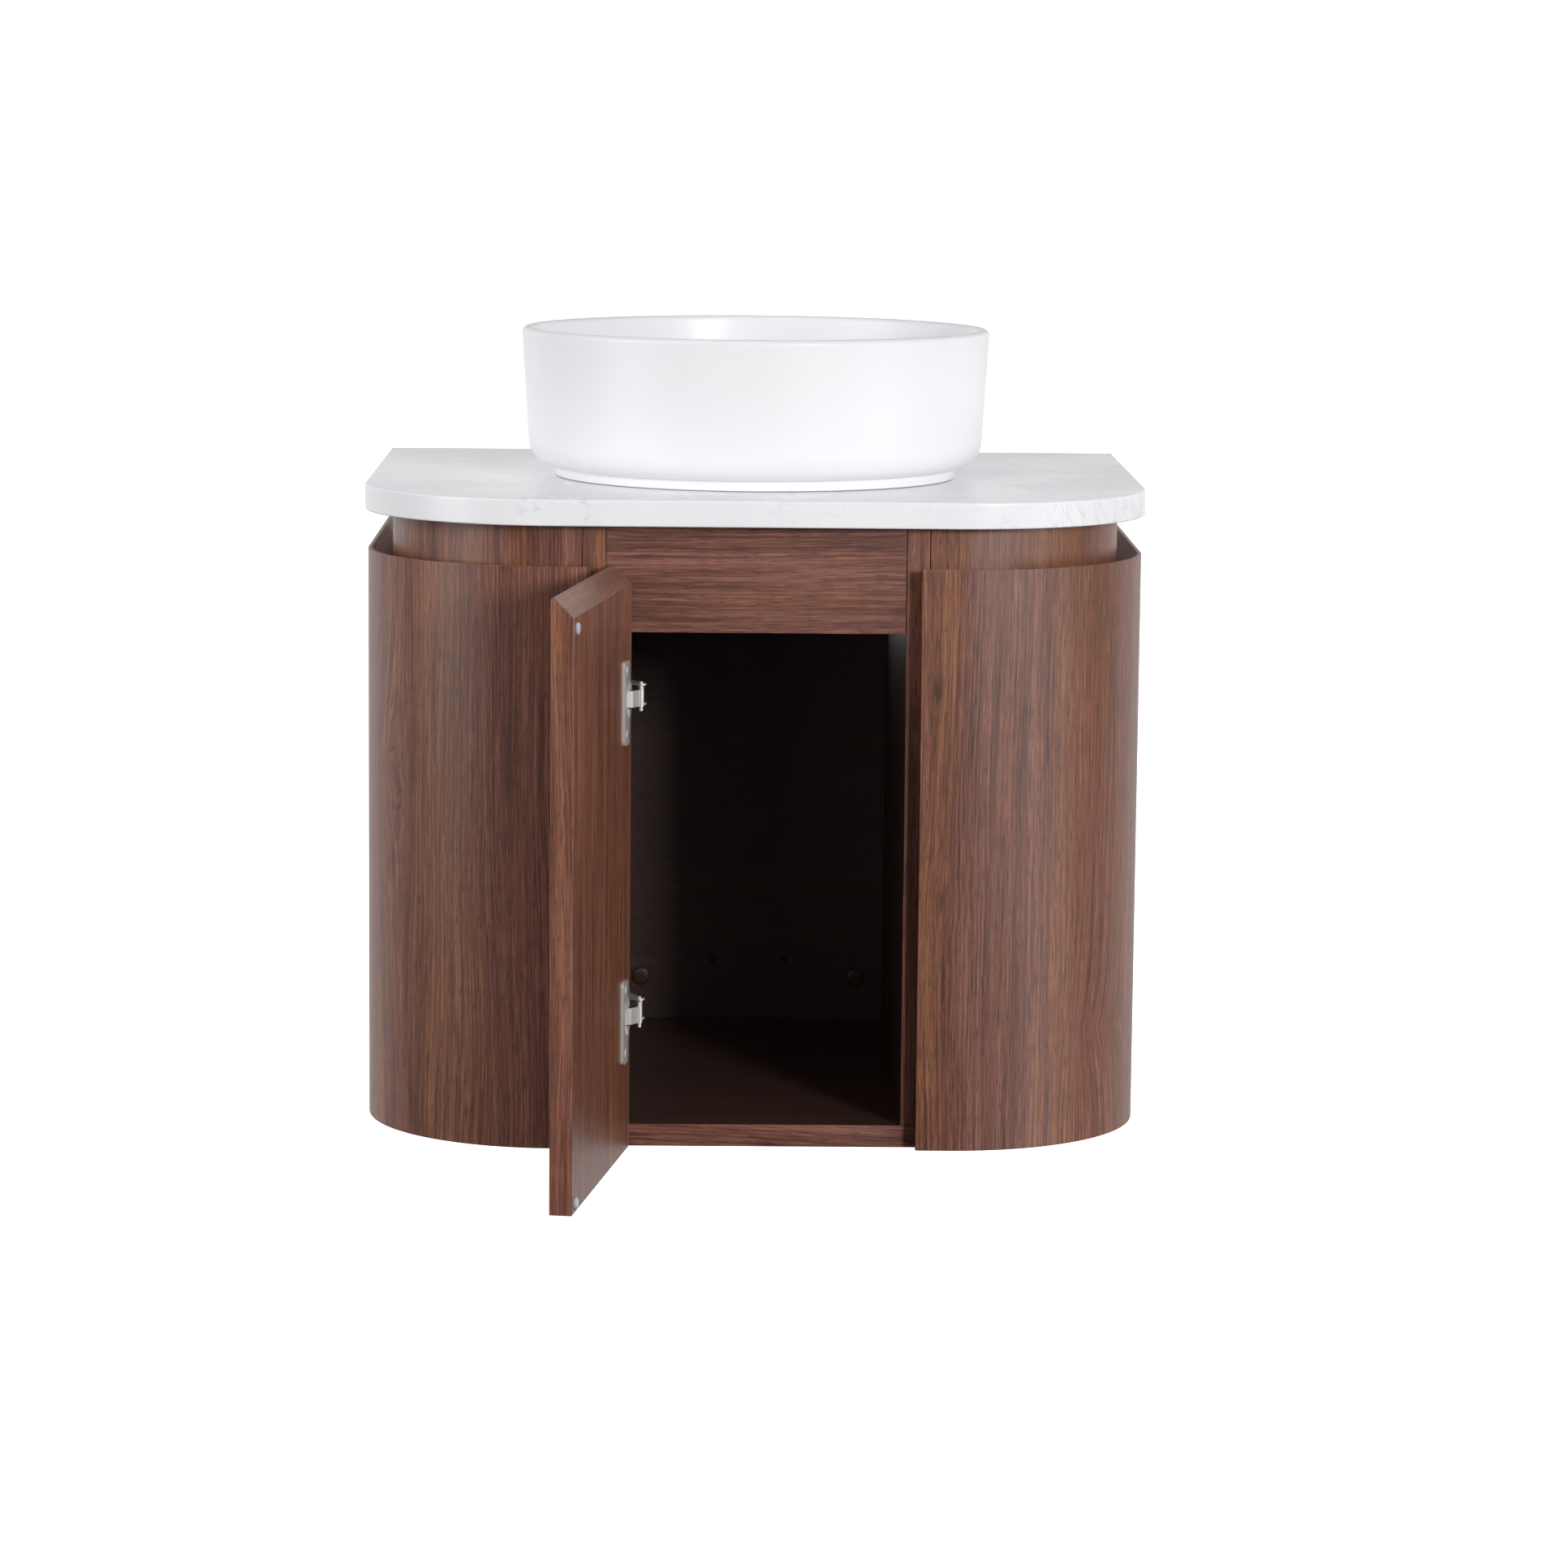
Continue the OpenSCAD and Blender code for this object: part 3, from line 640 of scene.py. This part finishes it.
def curved_board(name, corners, edge_x, side, node, ease=EASE):
    """Board with a section of (inset, height) corners, swept from the wall to edge_x."""
    end = STRAIGHT + ARC + (TOP_W / 2 - TOP_R - edge_x)
    rings = []
    for s in [0.0, STRAIGHT * 0.5, *CORNER_STATIONS, end - ease, end]:
        drawn = shrink(corners, ease) if s == end else corners
        outline = rounded(drawn, ease * (0.4 if s == end else 1))
        ring = []
        for inset, height in outline:
            x, y = plan_point(inset, s)
            ring.append((side * x, y, height))
        rings.append(ring)
    bm = bmesh.new()
    loft(bm, rings)

    def steep(face):
        return abs(face.normal.z) < 0.5

    def across(face, p):
        inset = plan_inset(p.x, p.y)
        return plan_station(p.x, p.y) + inset if steep(face) else inset - p.z

    def along(face, p):
        return p.z if steep(face) else plan_station(p.x, p.y)

    grain_map(bm, node, along, across)
    finish_piece(name, bm, "walnut", "cabinet", [node])


SHELL_SECTION = [
    (OVERHANG, SHELL_LOW),
    (OVERHANG, SHELL_TOP),
    (OVERHANG + LAND, SHELL_TOP),
    (CARCASS_IN, SHELL_TOP - (SHELL_T - LAND)),
    (CARCASS_IN, SHELL_LOW),
]
SIDE_SECTION = [
    (CARCASS_IN, CARCASS_LOW),
    (CARCASS_IN, CARCASS_TOP),
    (ROOM_IN, CARCASS_TOP),
    (ROOM_IN, CARCASS_LOW),
]
curved_board("left_shell_veneered", SHELL_SECTION, SHELL_EDGE, -1, "left_shell")
curved_board("right_shell_veneered", SHELL_SECTION, SHELL_EDGE, 1, "right_shell")
curved_board("left_side_veneered", SIDE_SECTION, SIDE_EDGE, -1, "left_side_panel")
curved_board("right_side_veneered", SIDE_SECTION, SIDE_EDGE, 1, "right_side_panel")


# ---------------------------------------------------------------------------
# Flat boards
# ---------------------------------------------------------------------------
def flat_board(node, grain_axis, inside, ease=EASE):
    """Rectangular board with eased edges, its grain along one axis."""
    low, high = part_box(node)
    bm = bmesh.new()
    bmesh.ops.create_cube(bm, size=1)
    for vert in bm.verts:
        vert.co = Vector(low[i] if vert.co[i] < 0 else high[i] for i in range(3))
    bmesh.ops.bevel(bm, geom=list(bm.edges), offset=ease, segments=2, profile=0.5, affect="EDGES")

    def axes(face):
        normal = [abs(c) for c in face.normal]
        facing = normal.index(max(normal))
        rest = [i for i in range(3) if i != facing]
        if facing == grain_axis:
            spans = [high[i] - low[i] for i in rest]
            along = rest[spans.index(max(spans))]
        else:
            along = grain_axis
        across = [i for i in rest if i != along][0]
        return across, along

    grain_map(bm, node,
              lambda face, p: p[axes(face)[1]],
              lambda face, p: p[axes(face)[0]])
    finish_piece(f"{node}_board", bm, "walnut", "cabinet", [node], inside)


# Faces towards the cabinet's inside get the walnut with painted shade
flat_board("left_partition", 2, (1, 0, 0))
flat_board("right_partition", 2, (-1, 0, 0))
flat_board("front_rail", 0, (0, 1, 0))


def bottom_board():
    """Fills the plan inside the side panels and comes forward between the partitions."""
    low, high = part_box("bottom_panel")
    part_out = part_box("right_partition")[1].x
    rings = []
    for inset, z in ((EASE, low.z), (0.0, low.z + EASE), (0.0, high.z - EASE), (EASE, high.z)):
        right = half_outline(ROOM_IN + inset)
        right += [(part_out - inset, right[-1][1]), (part_out - inset, FACE_Y + inset)]
        rings.append(mirrored(right, z))
    bm = bmesh.new()
    loft(bm, rings)
    grain_map(bm, "bottom_panel", lambda face, p: p.x, lambda face, p: p.y + p.z)
    # The floor's upper face gets the walnut with painted shade
    finish_piece("bottom_board", bm, "walnut", "cabinet", ["bottom_panel"],
                 (0, 0, 1))


bottom_board()


# ---------------------------------------------------------------------------
# Benchtop
# ---------------------------------------------------------------------------
def benchtop():
    """Slab with a rounded upper edge, a smaller lower one and the waste hole."""
    low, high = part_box("benchtop")
    top_r, low_r, steps = 2.0 * MM, 1.2 * MM, 5
    angles = [math.pi / 2 * k / steps for k in range(steps + 1)]
    edge = [(low_r * (1 - math.sin(a)), low.z + low_r * (1 - math.cos(a))) for a in angles]
    edge += [(top_r * (1 - math.cos(a)), high.z - top_r * (1 - math.sin(a))) for a in angles]
    rings = [mirrored(half_outline(inset), z) for inset, z in edge]

    def hole_ring(ring):
        """The waste hole's edge, one point towards each point of a ring."""
        angles = [math.atan2(y - WASTE_Y, x) for x, y, _ in ring]
        return [(WASTE_R * math.cos(a), WASTE_Y + WASTE_R * math.sin(a), ring[0][2])
                for a in angles]

    bm = bmesh.new()
    made = loft(bm, [hole_ring(rings[0]), *rings, hole_ring(rings[-1])], closed_ends=False)
    count = len(rings[0])
    for i in range(count):
        j = (i + 1) % count
        bm.faces.new((made[-1][i], made[-1][j], made[0][j], made[0][i]))
    finish_piece("stone_benchtop", bm, "stone", "cabinet", ["benchtop"])


benchtop()


# ---------------------------------------------------------------------------
# Basin
# ---------------------------------------------------------------------------
def arc(cx, cz, radius, start, stop, steps):
    """Points of an arc in (radius, height), angles in degrees."""
    points = []
    for k in range(steps + 1):
        a = math.radians(start + (stop - start) * k / steps)
        points.append((cx + radius * math.cos(a), cz + radius * math.sin(a)))
    return points


def lathe(profile, centre, steps):
    """Closed profile of (radius, height) turned about an upright axis."""
    bm = bmesh.new()
    columns = []
    for u, v in circle(1.0, steps):
        columns.append([bm.verts.new((centre.x + r * u, centre.y + r * v, centre.z + z))
                        for r, z in profile])
    count = len(profile)
    for k in range(steps):
        one, two = columns[k], columns[(k + 1) % steps]
        for i in range(count):
            j = (i + 1) % count
            bm.faces.new((one[i], one[j], two[j], two[i]))
    bmesh.ops.remove_doubles(bm, verts=bm.verts, dist=1e-6)
    return bm


BASIN_AT = Vector((0, WASTE_Y, TOP_Z))
BASIN_R, BASIN_H, BASIN_WALL = 182.5 * MM, 116 * MM, 9 * MM
WALL_SLOPE = 0.06


def basin():
    """Vessel with a foot ring, a rounded belly and rim, and a recess for the waste."""
    rim = 4 * MM
    foot_h, foot_r, foot_in = 8 * MM, 156.4 * MM, 146 * MM
    belly = 22 * MM
    bowl = 34 * MM
    floor_z, recess_r, recess_z = 19 * MM, 34 * MM, 11 * MM
    bead = 0.6 * MM
    boss = 42 * MM

    def wall_r(z):
        return BASIN_R - WALL_SLOPE * (BASIN_H - rim - z)

    inner_top = BASIN_R - BASIN_WALL
    inner_low = wall_r(floor_z + bowl) - BASIN_WALL
    profile = [(foot_r - 0.8 * MM, bead), (foot_r, bead + 0.8 * MM), (foot_r, foot_h - 0.6 * MM),
               (foot_r + 0.6 * MM, foot_h)]
    profile += arc(wall_r(foot_h + belly) - belly, foot_h + belly, belly, -88, 0, 16)
    profile += arc(BASIN_R - rim, BASIN_H - rim, rim, 0, 90, 8)
    profile += arc(inner_top + rim, BASIN_H - rim, rim, 90, 180, 8)
    profile += arc(inner_low - bowl, floor_z + bowl, bowl, 0, -88, 16)
    profile += [(recess_r + 1.5 * MM, floor_z - 2 * MM), (recess_r, floor_z - 4 * MM),
                (recess_r, recess_z), (WASTE_R, recess_z), (WASTE_R, bead)]
    profile += [(boss, bead), (boss, foot_h), (foot_in, foot_h), (foot_in, bead)]
    bm = lathe(profile, BASIN_AT, steps=192)
    finish_piece("ceramic_basin", bm, "ceramic", "cabinet", ["basin"])


basin()


# ---------------------------------------------------------------------------
# Door
# ---------------------------------------------------------------------------
def turn_about(pivot, angle):
    return Matrix.Translation(pivot) @ Matrix.Rotation(angle, 4, "Z") @ Matrix.Translation(-pivot)


ON_LINK = turn_about(ARM_PIVOT, LINK_TURN)
ON_DOOR = ON_LINK @ turn_about(CUP_PIVOT, -DOOR_OPEN - LINK_TURN)


def door():
    """Door leaf, made closed and then swung open, with its two cup bores."""
    inner_y = FRONT_Y + DOOR_T
    section = [
        (FRONT_Y, SHELL_LOW),
        (FRONT_Y, SHELL_TOP),
        (FRONT_Y + LAND, SHELL_TOP),
        (inner_y, SHELL_TOP - (DOOR_T - LAND)),
        (inner_y, SHELL_LOW),
    ]
    rings = []
    for x, drawn, radius in (
        (-DOOR_HALF, shrink(section, EASE), EASE * 0.4),
        (-DOOR_HALF + EASE, section, EASE),
        (DOOR_HALF - EASE, section, EASE),
        (DOOR_HALF, shrink(section, EASE), EASE * 0.4),
    ):
        rings.append([(x, y, z) for y, z in rounded(drawn, radius)])
    bm = bmesh.new()
    loft(bm, rings)
    cups = [(-DOOR_HALF + CUP_IN, sum(box_z(node)) / 2)
            for node in ("upper_hinge_cup", "lower_hinge_cup")]
    inner = bore(bm, cups, CUP_BORE_R, CUP_BORE_DEPTH)

    def across(face, p):
        n = face.normal
        if abs(n.z) > 0.5:
            return p.y - p.z
        return p.x if abs(n.y) > 0.5 else p.y + 0.3

    def along(face, p):
        return p.x if abs(face.normal.z) > 0.5 else p.z

    grain_map(bm, "door", along, across)
    bmesh.ops.transform(bm, matrix=ON_DOOR, verts=bm.verts)
    finish_piece("door_leaf", bm, "walnut", "door", ["door"], flat=inner)


door()


# ---------------------------------------------------------------------------
# CAD nodes that stay, with their finishes
# ---------------------------------------------------------------------------
FINISHES = {
    "bright_nickel": ["upper_hinge_cup", "lower_hinge_cup", "arm_pins", "cup_pins", "link_pins"],
    "nickel": ["upper_hinge_link", "lower_hinge_link", "upper_hinge_arm", "lower_hinge_arm",
               "upper_mounting_plate", "lower_mounting_plate"],
    "steel": ["cup_screws", "plate_screws", "arm_screws"],
    "black_steel": ["shell_screws", "back_screws"],
    "chrome": ["waste_flange", "waste_cap", "waste_body", "waste_plunger", "waste_locknut",
               "tail_union_nut", "waste_tailpiece"],
    "rubber": ["waste_top_seal", "cap_seal", "waste_under_seal"],
    "white_plastic": ["click_cartridge"],
    # The bead's grey paints the contact shadow under the basin foot
    "bead": ["basin_bead"],
    "dot": ["door_bumpers"],
    "beech": ["carcass_dowels"],
    # The back panel and hanging rails get walnut darkened with painted shade
    "walnut_inside": ["back_panel", "upper_hanging_rail", "lower_hanging_rail"],
}
for finish, nodes in FINISHES.items():
    for node in nodes:
        for material_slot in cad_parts[node].material_slots:
            material_slot.material = MATERIALS[finish]

# The hinges' pressed and turned metal has slightly rounded edges
PRESSED_EDGE = 0.35 * MM
for finish in ("nickel", "bright_nickel", "steel"):
    for node in FINISHES[finish]:
        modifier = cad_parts[node].modifiers.new("pressed_edge", "BEVEL")
        modifier.width = PRESSED_EDGE
        modifier.segments = 2
        modifier.limit_method = "ANGLE"
        modifier.angle_limit = math.radians(40)
        modifier.use_clamp_overlap = True
        modifier.harden_normals = True


# ---------------------------------------------------------------------------
# Cover caps over the wall fixing holes, on the back panel's room side
# ---------------------------------------------------------------------------
# Radius and depth of a cap's rings, from its rim to its middle
CAP_PROFILE = ((7.5 * MM, 0.0), (7.5 * MM, 0.7 * MM), (6.9 * MM, 1.3 * MM), (5.0 * MM, 1.7 * MM),
               (2.5 * MM, 1.9 * MM))


def wall_caps():
    room_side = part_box("back_panel")[0].y
    bm = bmesh.new()
    for x in (-CAP_X, CAP_X):
        for z in (-CAP_Z, CAP_Z):
            loft(bm, [[(x + u, room_side - depth, z + v) for u, v in circle(radius, steps=40)]
                      for radius, depth in CAP_PROFILE])
    # The caps take the back panel's walnut with painted shade
    finish_piece("wall_hole_caps", bm, "walnut_inside", "cabinet", [])


wall_caps()


# ---------------------------------------------------------------------------
# Studio
# ---------------------------------------------------------------------------
# Brightness of the surroundings: in front, behind, above and below
ROOM_FRONT, ROOM_BACK, ROOM_TOP, ROOM_LOW = 0.04, 1.02, 0.34, 0.02
# How far back a direction points where the room starts to brighten, and where it is full
ROOM_TURN = (0.0, 0.6)
LIGHT_TARGET = (0, -0.25, 0.05)
# Area lights: name, place, width, height and watts
LIGHTS = (
    ("key_light", (1.42, -3.17, 0.80), 0.45, 0.45, 49),
    ("left_light", (-2.9, -1.6, 0.9), 1.6, 1.8, 53),
    ("right_light", (2.65, -1.85, 0.10), 2.0, 2.8, 32),
    ("front_card", (-1.02, -3.35, 0.0), 0.6, 2.2, 2.5),
)
FLOOR_GLOW = 1.0
FLOOR_R, FLOOR_BEND, FLOOR_WALL = 22, 8, 20
CAMERA_AT = (-0.03777, -4.30925, 0.58444)
CAMERA_YAW, CAMERA_PITCH, CAMERA_ROLL = -0.01552, 0.14225, 0.00952
CAMERA_LENS, CAMERA_SENSOR, CAMERA_FAR = 118.98, 36, 100


def area_light(name, place, width, height, watts):
    data = bpy.data.lights.new(name, "AREA")
    data.shape = "RECTANGLE"
    data.size, data.size_y = width, height
    data.energy = watts
    lamp = bpy.data.objects.new(name, data)
    bpy.context.scene.collection.objects.link(lamp)
    lamp.location = place
    lamp.rotation_euler = (Vector(LIGHT_TARGET) - Vector(place)).to_track_quat("-Z", "Y").to_euler()


def world_light():
    """White surroundings behind the cabinet, a dim room in front, softer above and below."""
    bpy.context.scene.world = bpy.data.worlds.new("white_studio")
    g = Graph()
    direction = g.tree.nodes.new("ShaderNodeTexCoord").outputs["Generated"]
    _, y, z = g.split(direction)
    level = g.span(y, *ROOM_TURN, ROOM_FRONT, ROOM_BACK)
    up = g.span(z, 0.10, 0.75)
    down = g.span(z, -0.06, -0.5)
    level = g.add(level, g.times(up, g.add(ROOM_TOP, g.times(level, -1.0))))
    level = g.add(level, g.times(down, g.add(ROOM_LOW, g.times(level, -1.0))))
    g.set(strength=level, color=(1.0, 1.0, 1.01, 1))


def floor():
    """Pale floor that curves up into a far wall. Only the camera sees it."""
    bend = arc(FLOOR_R, FLOOR_BEND, FLOOR_BEND, -90, 0, 8)
    rings = []
    for radius, height in bend + [(FLOOR_R + FLOOR_BEND, FLOOR_WALL)]:
        rings.append([(x, y, height) for x, y in circle(radius, steps=96)])
    bm = bmesh.new()
    made = loft(bm, rings, closed_ends=False)
    bm.faces.new(made[0])
    mesh = bpy.data.meshes.new("floor")
    bm.to_mesh(mesh)
    bm.free()
    obj = bpy.data.objects.new("floor", mesh)
    obj.location.z = cad_box[0].z - MOUNT_HEIGHT
    bpy.context.scene.collection.objects.link(obj)
    obj.visible_diffuse = False
    obj.visible_glossy = False
    obj.visible_shadow = False
    g = Graph("pale_floor")
    tone = g.noise(g.object_coords(), 3, 2, 0.5)
    mesh.materials.append(g.set(
        base_color=g.mix(tone, rgb(250, 250, 250), rgb(247, 247, 247)), roughness=0.9,
        emission_color=(1, 1, 1, 1), emission_strength=FLOOR_GLOW))


def camera():
    data = bpy.data.cameras.new("camera")
    data.sensor_width = CAMERA_SENSOR
    data.lens = CAMERA_LENS
    data.clip_end = CAMERA_FAR
    obj = bpy.data.objects.new("camera", data)
    bpy.context.scene.collection.objects.link(obj)
    obj.matrix_world = (
        Matrix.Translation(CAMERA_AT)
        @ Matrix.Rotation(CAMERA_YAW, 4, "Z")
        @ Matrix.Rotation(math.pi / 2 - CAMERA_PITCH, 4, "X")
        @ Matrix.Rotation(CAMERA_ROLL, 4, "Z")
    )
    bpy.context.scene.camera = obj


world_light()
for light in LIGHTS:
    area_light(*light)
floor()
camera()
bpy.context.scene.view_settings.view_transform = "Standard"
bpy.context.scene.view_settings.look = "None"
